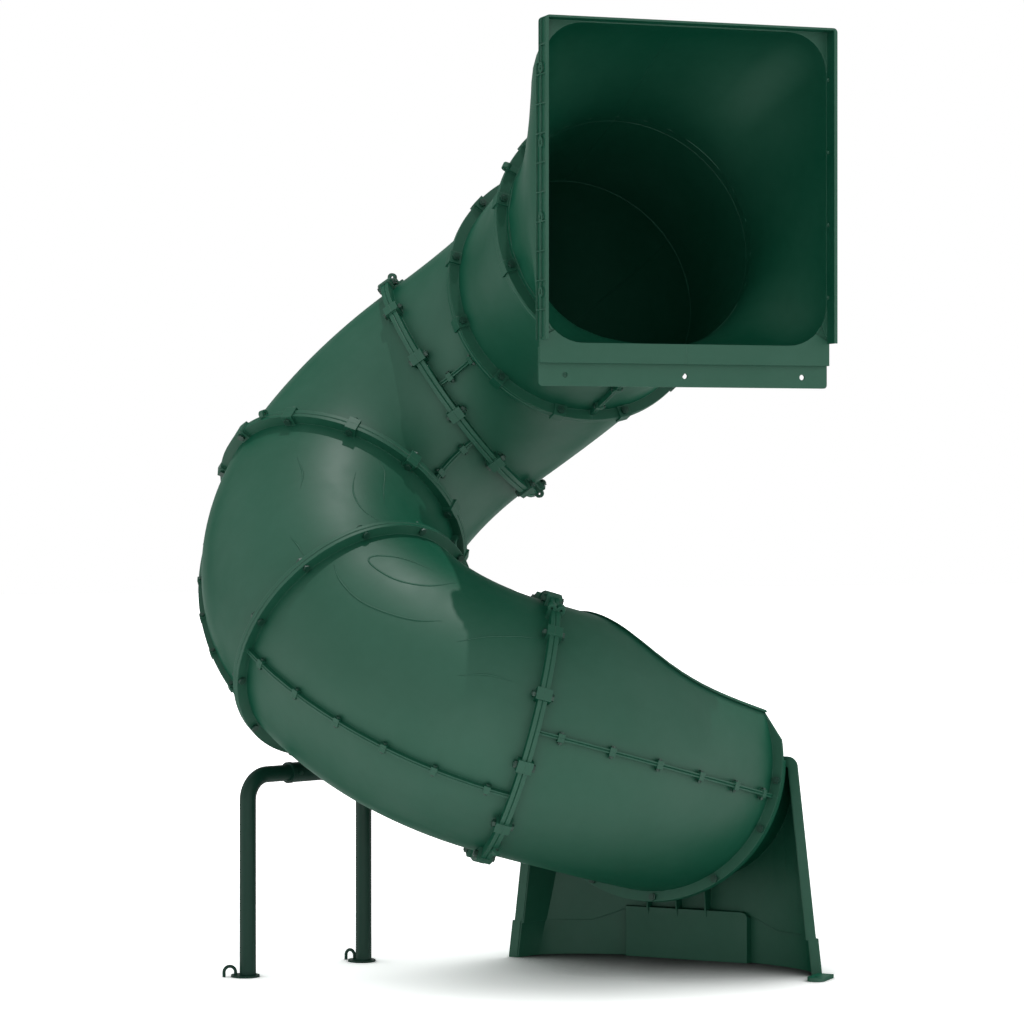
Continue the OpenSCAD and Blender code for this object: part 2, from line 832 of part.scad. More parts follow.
module exit_tube_lower() {
    color(plastic_dark) at(bend_frame(5)) mirror([0, 1, 0]) exit_half(false);
}

module exit_seam_bolts() {
    color(zinc) at(bend_frame(5)) bend_seam_bolts();
}

// Exit stand, drawn with +Y out of the slide, +X to its right and Z = 0 on the ground

exit_slope = asin(-exit_ring()[1][2]);
exit_turn = atan2(-exit_ring()[1][0], exit_ring()[1][1]);
stand_top = exit_h + arm_rise;
// The stand's walls lie this far inside the outer line of its back rim
wall_off = back_rim - stand_wall;
trough_z = exit_h + tube_r * (1 - cos(exit_slope));
// The anchor tab's radius, height and place
anchor_r = 22;
anchor_h = 10;
anchor_x = stand_w / 2 + 16;
anchor_y = stand_back - 62;
// Longer than the stand is wide, high or deep, for shapes that cut it
far = 1200;

module on_stand() {
    translate([exit_ring()[0][0], exit_ring()[0][1], ground_z])
        rotate([0, 0, exit_turn])
            children();
}

// Turns a shape drawn as a front view into a prism from y0 to y1
module front_prism(y0, y1) {
    translate([0, y1, 0])
        rotate([90, 0, 0])
            linear_extrude(y1 - y0)
                children();
}

// Half width of the stand at a height, and the front view's rounded shoulder
function stand_lean(z, off) =
    stand_w / 2 - off - (stand_w - stand_top_w) / 2 * z / exit_h;
function stand_shoulder(off) =
    let (
        r = 26 - min(off, 20),
        top = stand_top - off,
        x = stand_lean(top - r, off)
    )
    [for (i = [0 : 6]) [x - r + r * cos(15 * i), top - r + r * sin(15 * i)]];

// Front view of all that lies to the left of the stand's right-hand side
module right_bound(off, foot) {
    polygon(concat(
        [[stand_lean(foot, off), foot]],
        stand_shoulder(off),
        [[-far, stand_top - off], [-far, foot]]
    ));
}

// All that lies to the left of the stand's right-hand side, which leans and slants
module stand_side(off, foot) {
    translate([0, stand_back, 0])
        rotate([0, 0, stand_slant])
            front_prism(-far, far)
                scale([cos(stand_slant), 1]) right_bound(off, foot);
}

// The stand's block: two such sides and a rounded front
module stand_block(off, back, foot) {
    deep = stand_back + stand_depth + wall_off - off;
    mid = stand_back + 5;
    wide = stand_w / 2 + 2 - off;
    steps = 24;
    intersection() {
        translate([0, 0, foot])
            linear_extrude(far)
                polygon(concat(
                    [[wide + 50, back], [wide + 50, mid]],
                    [for (i = [0 : steps]) let (a = 180 * i / steps)
                        [wide * cos(a), mid + (deep - mid) * sin(a)]],
                    [[-wide - 50, mid], [-wide - 50, back]]
                ));
        stand_side(off, foot);
        mirror([1, 0, 0]) stand_side(off, foot);
    }
}

// Front view of the plinth's top edge, which rises to the toe recess
module plinth_line(foot) {
    rise = 90;
    left = toe_shift - toe_w / 2;
    right = toe_shift + toe_w / 2;
    polygon([
        [-stand_w, foot], [stand_w, foot], [stand_w, plinth_h],
        [right + rise, plinth_h], [right, toe_h],
        [left, toe_h], [left - rise, plinth_h], [-stand_w, plinth_h]
    ]);
}

module plinth_band(off, back, foot) {
    intersection() {
        stand_block(off, back, foot);
        front_prism(-far, far) plinth_line(foot);
    }
}

// Front view of the rim's outer line, moved inward by off
module rim_line(off, foot) {
    for (way = [off, off - plinth_out])
        intersection() {
            right_bound(way, foot);
            mirror([1, 0]) right_bound(way, foot);
            if (way < off)
                translate([-far, foot]) square([2 * far, plinth_h - foot]);
            else
                translate([-far, foot]) square([2 * far, far]);
        }
}

module trough_cut(r, y0, y1) {
    translate([0, 0, trough_z])
        front_prism(y0, y1) {
            circle(r = r, $fn = 180);
            translate([-r, 0]) square([2 * r, tube_d]);
        }
}

// Toe recess, seen from behind as a box with drafted sides and three gussets on it
module toe_box(off) {
    front = stand_back + stand_depth - toe_depth;
    draft = 20;
    half = toe_w / 2 - off;
    intersection() {
        translate([toe_shift, 0, -off])
            linear_extrude(toe_h)
                polygon([
                    [-half, front + off], [half, front + off],
                    [half + draft, front + off + 2 * toe_depth],
                    [-half - draft, front + off + 2 * toe_depth]
                ]);
        translate([toe_shift, 0, 0])
            front_prism(front - 10, front + far)
                polygon([
                    [-half - 30, -20], [half + 30, -20], [half + 30, toe_h - 14 - off],
                    [half, toe_h - 12 - off], [half - 4, toe_h - 4 - off],
                    [half - 12, toe_h - off], [-half - 30, toe_h - off]
                ]);
    }
}

module toe_gussets() {
    front = stand_back + stand_depth - toe_depth;
    gap = toe_w * 0.24;
    middle = toe_shift - toe_w * 0.08;
    high = exit_h - tube_r + 20;
    for (i = [-1 : 1])
        translate([middle + i * gap, 0, 0])
            rotate([90, 0, 90])
                linear_extrude(4)
                    polygon([
                        [front + 3, toe_h - 32], [front - 5, toe_h], [front - 18, high],
                        [front + toe_depth, high], [front + toe_depth, toe_h - 32]
                    ]);
}

module exit_stand() {
    color(plastic)
        difference() {
            union() {
                on_stand() {
                    // Walls and plinth band, then the rim round the open back
                    difference() {
                        union() {
                            stand_block(wall_off, stand_back + 2, 0);
                            plinth_band(wall_off - plinth_out, stand_back + 2, 0);
                        }
                        stand_block(back_rim, stand_back - 100, -10);
                        translate([0, 0, -stand_wall])
                            plinth_band(back_rim - plinth_out, stand_back - 100, -10);
                    }
                    front_prism(stand_back, stand_back + stand_wall)
                        difference() {
                            rim_line(0, 0);
                            rim_line(back_rim - 2, -10);
                        }
                    intersection() {
                        stand_block(wall_off + 1, stand_back, 0);
                        union() {
                            toe_box(0);
                            toe_gussets();
                        }
                    }
                    // Trough
                    intersection() {
                        trough_cut(tube_ro, -100, far);
                        union() {
                            stand_block(wall_off, stand_back, 0);
                            translate([-far / 2, -100, 0]) cube([far, stand_back + 110, trough_z]);
                        }
                    }
                    // Anchor tab at the right-hand corner
                    translate([anchor_x, anchor_y, 0]) cylinder(r = anchor_r, h = anchor_h, $fn = 64);
                    translate([anchor_x - anchor_r + 2, anchor_y, 0])
                        cube([2 * anchor_r - 4, stand_back - anchor_y + 3, anchor_h]);
                }
                intersection() {
                    at(exit_ring())
                        linear_extrude(flange_t)
                            difference() {
                                circle(r = flange_r, $fn = 180);
                                circle(r = tube_r + wall / 2, $fn = 180);
                            }
                    on_stand()
                        translate([-far / 2, -far / 2, 0]) cube([far, far, stand_top - 8]);
                }
            }
            on_stand() {
                trough_cut(tube_r, -200, far);
                toe_box(stand_wall);
                translate([anchor_x, anchor_y, -1]) cylinder(d = deck_hole_d, h = anchor_h + 2, $fn = 32);
            }
            at(exit_ring()) {
                translate([0, 0, -200]) cylinder(r = 700, h = 200, $fn = 64);
                for (a = exit_holes())
                    rotate(a)
                        translate([ring_bolt_r, 0, -1])
                            cylinder(d = ring_bolt_d + 2 * fit_gap, h = flange_t + 2, $fn = 24);
            }
        }
}

// Support. Its own frame has +X along the sleeve and +Z up; X = 0 is under the ring joint.

saddle_ring = bend_frame(4);
saddle_dir = unit([saddle_ring[1][0], saddle_ring[1][1], 0]);
saddle_slope = asin(-saddle_ring[1][2]);
saddle_low = saddle_ring[0] - flange_r * (sin(saddle_slope) * saddle_dir + [0, 0, cos(saddle_slope)]);
sleeve_r = post_d / 2 + slide_gap + sleeve_wall;
// Half width of the saddle's plate, which reaches past its two bolts, and width of its tongue
saddle_half = ring_bolt_r * sin(hole_step / 2) + 16;
saddle_tongue = 54;
sleeve_mid = -sleeve_shift;
sleeve_h = saddle_low[2] - ground_z - sleeve_drop;
saddle_turn = atan2(saddle_dir[0], -saddle_dir[1]) + support_turn;

module on_support() {
    translate([saddle_low[0], saddle_low[1], ground_z])
        rotate([0, 0, saddle_turn])
            children();
}

module lying(x0, x1, r) {
    translate([x0, 0, sleeve_h])
        rotate([0, 90, 0])
            cylinder(r = r, h = x1 - x0, $fn = 64);
}

module support_saddle() {
    x0 = sleeve_mid - sleeve_len / 2;
    x1 = sleeve_mid + sleeve_len / 2;
    color(steel)
        difference() {
            union() {
                on_support() {
                    lying(x0, x1, sleeve_r);
                    lying(x0, x0 + 10, sleeve_r + 1.5);
                    lying(x1 - 10, x1, sleeve_r + 1.5);
                }
                at(saddle_ring) rotate(-90)
                    translate([0, 0, flange_t])
                        linear_extrude(saddle_t) {
                            intersection() {
                                difference() {
                                    circle(r = flange_r + 2);
                                    circle(r = tube_ro + 4);
                                }
                                translate([0, -saddle_half]) square([flange_r + 50, 2 * saddle_half]);
                            }
                            translate([tube_ro + 8, -saddle_tongue / 2])
                                square([flange_h + sleeve_drop, saddle_tongue]);
                        }
            }
            on_support() lying(x0 - 100, x1 + 100, post_d / 2 + slide_gap);
            at(saddle_ring)
                for (a = saddle_holes())
                    rotate(a)
                        translate([ring_bolt_r, 0, 0])
                            cylinder(d = ring_bolt_d + 2 * fit_gap, h = flange_t + saddle_t + 2, $fn = 24);
            on_support()
                for (x = set_places())
                    translate([x, 0, sleeve_h])
                        rotate([90, 0, 0])
                            cylinder(d = 6 + 2 * fit_gap, h = 60, $fn = 24);
        }
}

function saddle_holes() = [-90 - hole_step / 2, -90 + hole_step / 2];
function set_places() = [sleeve_mid - sleeve_len / 2 + 22, sleeve_mid + sleeve_len / 2 - 22];

module saddle_set_screws() {
    color(zinc)
        on_support()
            for (x = set_places())
                translate([x, -sleeve_r, sleeve_h])
                    rotate([90, 0, 0]) {
                        cylinder(d = 11, h = 4.5, $fn = 6);
                        translate([0, 0, -sleeve_wall]) cylinder(d = 6, h = sleeve_wall + 1, $fn = 24);
                    }
}

// A bent post: up from the ground at the origin, round a bend and along +X
module bent_post(reach) {
    rise = sleeve_h - post_bend_r;
    ro = post_d / 2;
    ri = ro - post_wall;
    translate([0, 0, foot_t])
        linear_extrude(rise - foot_t)
            difference() {
                circle(r = ro, $fn = 64);
                circle(r = ri, $fn = 64);
            }
    translate([post_bend_r, 0, rise])
        rotate([90, 0, 180])
            rotate_extrude(angle = 90, $fn = 96)
                translate([post_bend_r, 0])
                    difference() {
                        circle(r = ro, $fn = 64);
                        circle(r = ri, $fn = 64);
                    }
    translate([post_bend_r, 0, sleeve_h])
        rotate([0, 90, 0])
            linear_extrude(reach - post_bend_r)
                difference() {
                    circle(r = ro, $fn = 64);
                    circle(r = ri, $fn = 64);
                }
}

left_x = sleeve_mid - post_gap / 2;
right_x = sleeve_mid + post_gap / 2;
post_reach = post_gap / 2 - 4;

module left_post() {
    color(steel) on_support() translate([left_x, 0, 0]) bent_post(post_reach);
}

module right_post() {
    color(steel)
        on_support() translate([right_x, 0, 0]) mirror([1, 0, 0]) bent_post(post_reach);
}

// A disc with a spigot up the post and a hole for one leg of the staple
staple_leg = post_d / 2 + staple_d / 2 + 6;

module foot_disc(a) {
    difference() {
        union() {
            rotate(a)
                translate([foot_shift, 0, 0])
                    cylinder(d = foot_d, h = foot_t, $fn = 96);
            cylinder(r = post_d / 2 - post_wall - slide_gap, h = foot_t + 25, $fn = 64);
        }
        rotate(a)
            translate([staple_leg, 0, -1])
                cylinder(d = staple_d + 2 * fit_gap, h = foot_t + 2, $fn = 32);
    }
}

module ground_staple(a) {
    top = staple_h - staple_d / 2 - staple_gap / 2;
    rotate(a)
        translate([staple_leg, 0, 0]) {
            for (x = [0, staple_gap])
                translate([x, 0, 0]) cylinder(d = staple_d, h = top + 0.01, $fn = 32);
            translate([staple_gap / 2, 0, top])
                rotate([90, 0, 0])
                    rotate_extrude(angle = 180, $fn = 64)
                        translate([staple_gap / 2, 0])
                            circle(d = staple_d, $fn = 32);
        }
}

left_staple_a = 145;
right_staple_a = 98;

module left_foot_disc() {
    color(steel) on_support() translate([left_x, 0, 0]) foot_disc(left_staple_a);
}

module right_foot_disc() {
    color(steel) on_support() translate([right_x, 0, 0]) foot_disc(right_staple_a);
}

module left_ground_staple() {
    color(steel) on_support() translate([left_x, 0, 0]) ground_staple(left_staple_a);
}

module right_ground_staple() {
    color(steel) on_support() translate([right_x, 0, 0]) ground_staple(right_staple_a);
}

// Bolts of the ring joints
module ring_set(f, grip) {
    color(zinc) at(f) ring_bolts(all_holes(), grip, grip);
}

module saddle_ring_bolts() {
    color(zinc)
        at(saddle_ring) {
            ring_bolts([for (a = all_holes()) if (!is_saddle(a)) a], flange_t, flange_t);
            ring_bolts(saddle_holes(), flange_t, flange_t + saddle_t);
        }
}

function is_saddle(a) =
    len([for (b = saddle_holes()) if (abs(a - (b + 360)) < 1) 1]) > 0;

module exit_ring_bolts() {
    color(zinc) at(exit_ring()) ring_bolts(exit_holes(), flange_t, flange_t);
}

hood_left();
hood_right();
deck_plate();
deck_plate_screws();
hood_seam_bolts();
collar_left();
collar_right();
collar_seam_bolts();
bend_upper(1);  // bend_1_upper
bend_lower(1);  // bend_1_lower
bend_bolts(1);  // bend_1_seam_bolts
bend_upper(2);  // bend_2_upper
bend_lower(2);  // bend_2_lower
bend_bolts(2);  // bend_2_seam_bolts
bend_upper(3);  // bend_3_upper
bend_lower(3);  // bend_3_lower
bend_bolts(3);  // bend_3_seam_bolts
bend_upper(4);  // bend_4_upper
bend_lower(4);  // bend_4_lower
bend_bolts(4);  // bend_4_seam_bolts
exit_tube_upper();
exit_tube_lower();
exit_seam_bolts();
exit_stand();
ring_set(ring_1(), pad_t);  // ring_1_bolts
ring_set(ring_2(), pad_t);  // ring_2_bolts
ring_set(bend_frame(2), pad_t);  // ring_3_bolts
ring_set(bend_frame(3), pad_t);  // ring_4_bolts
saddle_ring_bolts();  // ring_5_bolts
ring_set(bend_frame(5), pad_t);  // ring_6_bolts
exit_ring_bolts();
support_saddle();
saddle_set_screws();
left_post();
right_post();
left_foot_disc();
right_foot_disc();
left_ground_staple();
right_ground_staple();
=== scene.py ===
# %% [markdown]
# # Spiral tube slide in moulded green plastic
# The slide is bolted together from hollow plastic shells. Its exact solids come in as a fixed
# frame, so this lesson is about looks: the camera, the light, the finishes, and the small
# raised and worn details that only a close look shows.

import json
import math

import bpy
from mathutils import Matrix, Vector


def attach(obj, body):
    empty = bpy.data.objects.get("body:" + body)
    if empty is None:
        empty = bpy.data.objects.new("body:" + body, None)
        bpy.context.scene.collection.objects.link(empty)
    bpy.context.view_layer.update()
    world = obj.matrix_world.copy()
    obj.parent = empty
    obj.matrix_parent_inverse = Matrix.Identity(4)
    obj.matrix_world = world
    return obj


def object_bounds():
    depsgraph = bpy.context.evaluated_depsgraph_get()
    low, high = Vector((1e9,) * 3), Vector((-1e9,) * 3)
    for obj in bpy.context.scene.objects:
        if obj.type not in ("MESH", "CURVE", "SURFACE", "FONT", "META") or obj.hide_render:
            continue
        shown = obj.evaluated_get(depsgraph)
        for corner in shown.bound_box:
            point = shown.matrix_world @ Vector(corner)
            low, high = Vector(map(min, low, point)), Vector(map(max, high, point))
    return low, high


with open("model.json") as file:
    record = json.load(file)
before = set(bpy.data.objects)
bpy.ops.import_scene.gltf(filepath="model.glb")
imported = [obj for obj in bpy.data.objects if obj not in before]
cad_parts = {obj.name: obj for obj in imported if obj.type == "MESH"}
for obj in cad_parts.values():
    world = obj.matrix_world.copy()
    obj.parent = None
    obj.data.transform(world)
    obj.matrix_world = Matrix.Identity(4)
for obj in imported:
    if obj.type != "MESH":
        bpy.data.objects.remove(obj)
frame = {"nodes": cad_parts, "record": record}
cad_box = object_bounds()
nodes = frame["nodes"]
scene = bpy.context.scene
print("frame:", len(nodes), "nodes, box", [round(v, 3) for corner in cad_box for v in corner])

# %% [markdown]
# ## Smooth shading on exact solids
# A solid reaches us as triangles whose corners are split along every edge, so a curved skin
# could show its facets. One way is to rebuild each skin by hand. It is enough here to weld the
# corners, split them again only where two faces meet at a clear angle, and shade the rest
# smooth. Both steps are modifiers, so the solids themselves stay as they are.

# %% Weld and split by angle
WELD_DISTANCE = 0.00002
CREASE_ANGLE = math.radians(24)


def smooth_by_angle(obj, angle=CREASE_ANGLE):
    mesh = obj.data
    for name in ("custom_normal", "sharp_edge", "sharp_face"):
        if name in mesh.attributes:
            mesh.attributes.remove(mesh.attributes[name])
    mesh.shade_smooth()
    weld = obj.modifiers.new("Weld", "WELD")
    weld.merge_threshold = WELD_DISTANCE
    split = obj.modifiers.new("Crease", "EDGE_SPLIT")
    split.split_angle = angle
    split.use_edge_sharp = False


for obj in nodes.values():
    smooth_by_angle(obj)
print("smoothed", len(nodes), "nodes; corners over", round(math.degrees(CREASE_ANGLE)), "degrees stay")

# %% [markdown]
# ## The camera
# The picture is taken from far off with a long lens, level with the middle of the slide and a
# little to its left. The distance, the turn and the lens were worked out from the ring joints,
# which are circles of known size. The horizon lies a little above the middle of the picture,
# which a view camera reaches by shifting the lens and not by tilting it.

# %% Place the camera
PICTURE = 1024
FOCAL_IN_PIXELS = 3418
HORIZON_ABOVE_MIDDLE = 25.3
CAMERA_PLACE = Vector((-2.9703, -7.286, -0.2541))
CAMERA_TURN = math.radians(19.282)

camera_data = bpy.data.cameras.new("camera")
camera_data.sensor_width = 36
camera_data.lens = 36 * FOCAL_IN_PIXELS / PICTURE
camera_data.shift_y = -HORIZON_ABOVE_MIDDLE / PICTURE
camera_data.clip_end = 100
camera = bpy.data.objects.new("camera", camera_data)
camera.location = CAMERA_PLACE
camera.rotation_euler = (math.radians(90), 0, -CAMERA_TURN)
scene.collection.objects.link(camera)
scene.camera = camera
print("camera: lens", round(camera_data.lens, 1), "mm, shift", round(camera_data.shift_y, 4))

# %% [markdown]
# ## The floor, the background and the light
# The picture has a plain white ground. The plastic shows two things: the white room all round
# it, mirrored faintly and evenly, and one hard light straight above, whose broad dull glint
# ends in a sharp shadow edge. Panels at the sides could give the glint too, but not that edge.
# So a white room lights everything, and a distant lamp stands over it. The room dims towards
# its ceiling, which keeps the upper sides from washing out. The lamp leaves the floor out, which
# keeps only the soft shadow of the room. Where something stands close to the floor, a darker
# shadow is painted into the floor's seen colour.

# %% The white room
GROUND = cad_box[0].z
WALL_TOP = math.sin(math.radians(26))
CEILING_EDGE = math.sin(math.radians(52))
CEILING_LEVEL = 0.55


def range_node(tree, value, low, high, to_low=0.0, to_high=1.0):
    """Move a value from one range to another, and stop at the ends."""
    node = tree.nodes.new("ShaderNodeMapRange")
    node.inputs["From Min"].default_value = low
    node.inputs["From Max"].default_value = high
    node.inputs["To Min"].default_value = to_low
    node.inputs["To Max"].default_value = to_high
    tree.links.new(value, node.inputs["Value"])
    return node.outputs["Result"]


world = bpy.data.worlds.new("white_room")
world.use_nodes = True
scene.world = world
tree = world.node_tree
room = tree.nodes["Background"]
room.inputs["Color"].default_value = (1, 1, 1, 1)
direction = tree.nodes.new("ShaderNodeTexCoord")
height = tree.nodes.new("ShaderNodeSeparateXYZ")
tree.links.new(direction.outputs["Generated"], height.inputs[0])
level = range_node(tree, height.outputs["Z"], WALL_TOP, CEILING_EDGE, 1.0, CEILING_LEVEL)
tree.links.new(level, room.inputs["Strength"])
print("room: 1.0 at eye level,", CEILING_LEVEL, "at the ceiling")

# %% The floor
# FLOOR_WHITE is the paint that gives light back, and FLOOR_SEEN the one that a camera sees
FLOOR_SIZE = 30
FLOOR_WHITE = 0.95
FLOOR_SEEN = 2.3
# These three set the shadow painted into the floor's seen colour near things that stand close to it
PAINTED_SHADOW_REACH = 0.45
PAINTED_SHADOW_DARK = 0.15
PAINTED_SHADOW_CLEAR = 0.9


def seen_directly(tree):
    """1 where a camera, mirror or see-through ray arrives, and 0 for a ray that only lights."""
    path = tree.nodes.new("ShaderNodeLightPath")
    total = None
    for ray in ("Is Camera Ray", "Is Glossy Ray", "Is Transmission Ray"):
        if total is None:
            total = path.outputs[ray]
            continue
        most = tree.nodes.new("ShaderNodeMath")
        most.operation = "MAXIMUM"
        tree.links.new(total, most.inputs[0])
        tree.links.new(path.outputs[ray], most.inputs[1])
        total = most.outputs[0]
    return total


floor_mesh = bpy.data.meshes.new("floor")
corners = [(x * FLOOR_SIZE, y * FLOOR_SIZE, GROUND) for x, y in ((-1, -1), (1, -1), (1, 1), (-1, 1))]
floor_mesh.from_pydata(corners, [], [(0, 1, 2, 3)])
floor = bpy.data.objects.new("floor", floor_mesh)
scene.collection.objects.link(floor)

floor_paint = bpy.data.materials.new("white_floor")
floor_paint.use_nodes = True
tree = floor_paint.node_tree
tree.nodes.clear()
matt = tree.nodes.new("ShaderNodeBsdfDiffuse")
# Nearness to other things darkens the floor's seen colour: a painted contact shadow
painted_contact_shadow = tree.nodes.new("ShaderNodeAmbientOcclusion")
painted_contact_shadow.samples = 16
painted_contact_shadow.inputs["Distance"].default_value = PAINTED_SHADOW_REACH
seen_with_painted_shadow = range_node(tree, painted_contact_shadow.outputs["AO"], PAINTED_SHADOW_DARK, PAINTED_SHADOW_CLEAR, 0.0, FLOOR_SEEN)
shade = tree.nodes.new("ShaderNodeMix")
shade.inputs["A"].default_value = FLOOR_WHITE
tree.links.new(seen_directly(tree), shade.inputs["Factor"])
tree.links.new(seen_with_painted_shadow, shade.inputs["B"])
tree.links.new(shade.outputs["Result"], matt.inputs["Color"])
tree.links.new(matt.outputs[0], tree.nodes.new("ShaderNodeOutputMaterial").inputs[0])
floor_mesh.materials.append(floor_paint)
print("floor at", round(GROUND, 4))

# %% The light above
LEAN_RIGHT = math.tan(math.radians(6))
LEAN_BACK = math.tan(math.radians(5))
LAMP_STRENGTH = 1.35
LAMP_WIDTH = math.radians(0.6)
to_right = Vector((math.cos(CAMERA_TURN), -math.sin(CAMERA_TURN), 0))
to_back = Vector((math.sin(CAMERA_TURN), math.cos(CAMERA_TURN), 0))
overhead = Vector((0, 0, 1)) + to_right * LEAN_RIGHT + to_back * LEAN_BACK

lamp_data = bpy.data.lights.new("overhead_lamp", "SUN")
lamp_data.energy = LAMP_STRENGTH
lamp_data.angle = LAMP_WIDTH
lamp = bpy.data.objects.new("overhead_lamp", lamp_data)
lamp.rotation_euler = (-overhead).to_track_quat("-Z", "Y").to_euler()
scene.collection.objects.link(lamp)

unlit = bpy.data.collections.new("not_lit_from_above")
unlit.objects.link(floor)
unlit.collection_objects[0].light_linking.link_state = "EXCLUDE"
lamp.light_linking.receiver_collection = unlit
print("lamp leans", [round(v, 3) for v in overhead.normalized()])

# %% A weak light from the camera's side
FRONT_STRENGTH = 0.16
FRONT_WIDTH = math.radians(8)

front_data = bpy.data.lights.new("front_lamp", "SUN")
front_data.energy = FRONT_STRENGTH
front_data.angle = FRONT_WIDTH
front = bpy.data.objects.new("front_lamp", front_data)
front.rotation_euler = to_back.to_track_quat("-Z", "Y").to_euler()
scene.collection.objects.link(front)
print("lamps:", LAMP_STRENGTH, "above and", FRONT_STRENGTH, "from the front")

# %% [markdown]
# ## Shared effects as node groups
# Three effects come back in more than one finish, so each is a node group with named inputs.
# The first is the skin that hot plastic powder leaves in a mould: cloudy in colour and very
# slightly pebbled. The second finds the outer corners and paints them pale, partly as real
# rubbed edges and partly as a painted highlight where light catches them. The third finds where
# dust lies.

# %% A helper that makes a node group
def make_group(name, inputs, outputs):
    group = bpy.data.node_groups.new(name, "ShaderNodeTree")
    for label, kind, value in inputs:
        socket = group.interface.new_socket(name=label, in_out="INPUT", socket_type=kind)
        socket.default_value = value
    for label, kind in outputs:
        group.interface.new_socket(name=label, in_out="OUTPUT", socket_type=kind)
    return group, group.nodes.new("NodeGroupInput"), group.nodes.new("NodeGroupOutput")


def math_node(tree, operation, first, second, clamp=False):
    node = tree.nodes.new("ShaderNodeMath")
    node.operation = operation
    node.use_clamp = clamp
    for socket, value in zip(node.inputs, (first, second)):
        if isinstance(value, (int, float)):
            socket.default_value = value
        else:
            tree.links.new(value, socket)
    return node.outputs[0]


def noise_node(tree, vector, scale, detail=2.0, roughness=0.5):
    node = tree.nodes.new("ShaderNodeTexNoise")
    node.inputs["Detail"].default_value = detail
    node.inputs["Roughness"].default_value = roughness
    tree.links.new(vector, node.inputs["Vector"])
    if isinstance(scale, (int, float)):
        node.inputs["Scale"].default_value = scale
    else:
        tree.links.new(scale, node.inputs["Scale"])
    return node.outputs["Fac"]


def mix_colour(tree, factor, first, second):
    node = tree.nodes.new("ShaderNodeMix")
    node.data_type = "RGBA"
    for socket, value in zip((node.inputs[0], node.inputs[6], node.inputs[7]), (factor, first, second)):
        if isinstance(value, (int, float, tuple)):
            socket.default_value = value
        else:
            tree.links.new(value, socket)
    return node.outputs[2]


# %% Moulded skin
# The scales count waves in a metre, so 420 gives pebbles of about two millimetres
CLOUD_SCALE = 3.2
MOTTLE_SCALE = 38.0
MOTTLE_SHARE = 0.35
CLOUD_FROM, CLOUD_TO = 0.5, 0.9
PATCH_SCALE = 9.0
PATCH_FROM, PATCH_TO = 0.3, 0.7
GLOSS_SWING = 0.035
PEBBLE_SCALE = 420.0
WAVE_SCALE = 26.0


def moulded_skin_group():
    group, given, out = make_group(
        "MouldedSkin",
        [
            ("Vector", "NodeSocketVector", (0, 0, 0)),
            ("Colour", "NodeSocketColor", (0.01, 0.07, 0.04, 1)),
            ("Pale Colour", "NodeSocketColor", (0.02, 0.1, 0.06, 1)),
            ("Cloud", "NodeSocketFloat", 0.3),
            ("Gloss", "NodeSocketFloat", 0.3),
            ("Pebble", "NodeSocketFloat", 0.3),
        ],
        [("Colour", "NodeSocketColor"), ("Roughness", "NodeSocketFloat"), ("Height", "NodeSocketFloat")],
    )
    where = given.outputs["Vector"]
    broad = noise_node(group, where, CLOUD_SCALE, 3.0, 0.55)
    fine = noise_node(group, where, MOTTLE_SCALE, 3.0, 0.6)
    mottled = math_node(group, "ADD", broad, math_node(group, "MULTIPLY", fine, MOTTLE_SHARE))
    cloud = range_node(group, mottled, CLOUD_FROM, CLOUD_TO)
    share = math_node(group, "MULTIPLY", cloud, given.outputs["Cloud"])
    clouded = mix_colour(group, share, given.outputs["Colour"], given.outputs["Pale Colour"])
    group.links.new(clouded, out.inputs["Colour"])
    patch = noise_node(group, where, PATCH_SCALE, 2.0, 0.5)
    swing = range_node(group, patch, PATCH_FROM, PATCH_TO, -GLOSS_SWING, GLOSS_SWING)
    group.links.new(math_node(group, "ADD", given.outputs["Gloss"], swing), out.inputs["Roughness"])
    pebble = noise_node(group, where, PEBBLE_SCALE, 1.0, 0.4)
    wave = noise_node(group, where, WAVE_SCALE, 1.0, 0.4)
    height = math_node(group, "ADD", math_node(group, "MULTIPLY", pebble, given.outputs["Pebble"]), wave)
    group.links.new(height, out.inputs["Height"])
    return group


# %% Worn corners and a painted edge highlight
# The bevelled and the true normal part where a corner is: their product is 1 on a flat
BEVEL_SAMPLES = 4
CORNER_FROM, CORNER_TO = 0.995, 0.93
RUB_SCALE = 30.0
RUB_FROM, RUB_TO = 0.32, 0.62


def corner_wear_and_highlight_group():
    group, given, out = make_group(
        "WornAndHighlitCorners",
        [
            ("Vector", "NodeSocketVector", (0, 0, 0)),
            ("Radius", "NodeSocketFloat", 0.002),
            ("Wear", "NodeSocketFloat", 0.5),
        ],
        [("Mask", "NodeSocketFloat"), ("Normal", "NodeSocketVector")],
    )
    bevel = group.nodes.new("ShaderNodeBevel")
    bevel.samples = BEVEL_SAMPLES
    group.links.new(given.outputs["Radius"], bevel.inputs["Radius"])
    shape = group.nodes.new("ShaderNodeNewGeometry")
    dot = group.nodes.new("ShaderNodeVectorMath")
    dot.operation = "DOT_PRODUCT"
    group.links.new(bevel.outputs[0], dot.inputs[0])
    group.links.new(shape.outputs["Normal"], dot.inputs[1])
    # The pale colour on these corners is partly real rubbing and partly a painted highlight along the edge
    corner = range_node(group, dot.outputs["Value"], CORNER_FROM, CORNER_TO)
    patchy = noise_node(group, given.outputs["Vector"], RUB_SCALE, 3.0, 0.6)
    rubbed_and_highlit = math_node(group, "MULTIPLY", corner, range_node(group, patchy, RUB_FROM, RUB_TO))
    mask = math_node(group, "MULTIPLY", rubbed_and_highlit, given.outputs["Wear"], True)
    group.links.new(mask, out.inputs["Mask"])
    group.links.new(bevel.outputs[0], out.inputs["Normal"])
    return group


# %% Settled dust
# Dust starts on faces that look up a little, and is full on level ones
LEVEL_FROM, LEVEL_TO = 0.2, 0.95
SPECK_SCALE = 60.0
SPECK_FROM, SPECK_TO = 0.42, 0.75


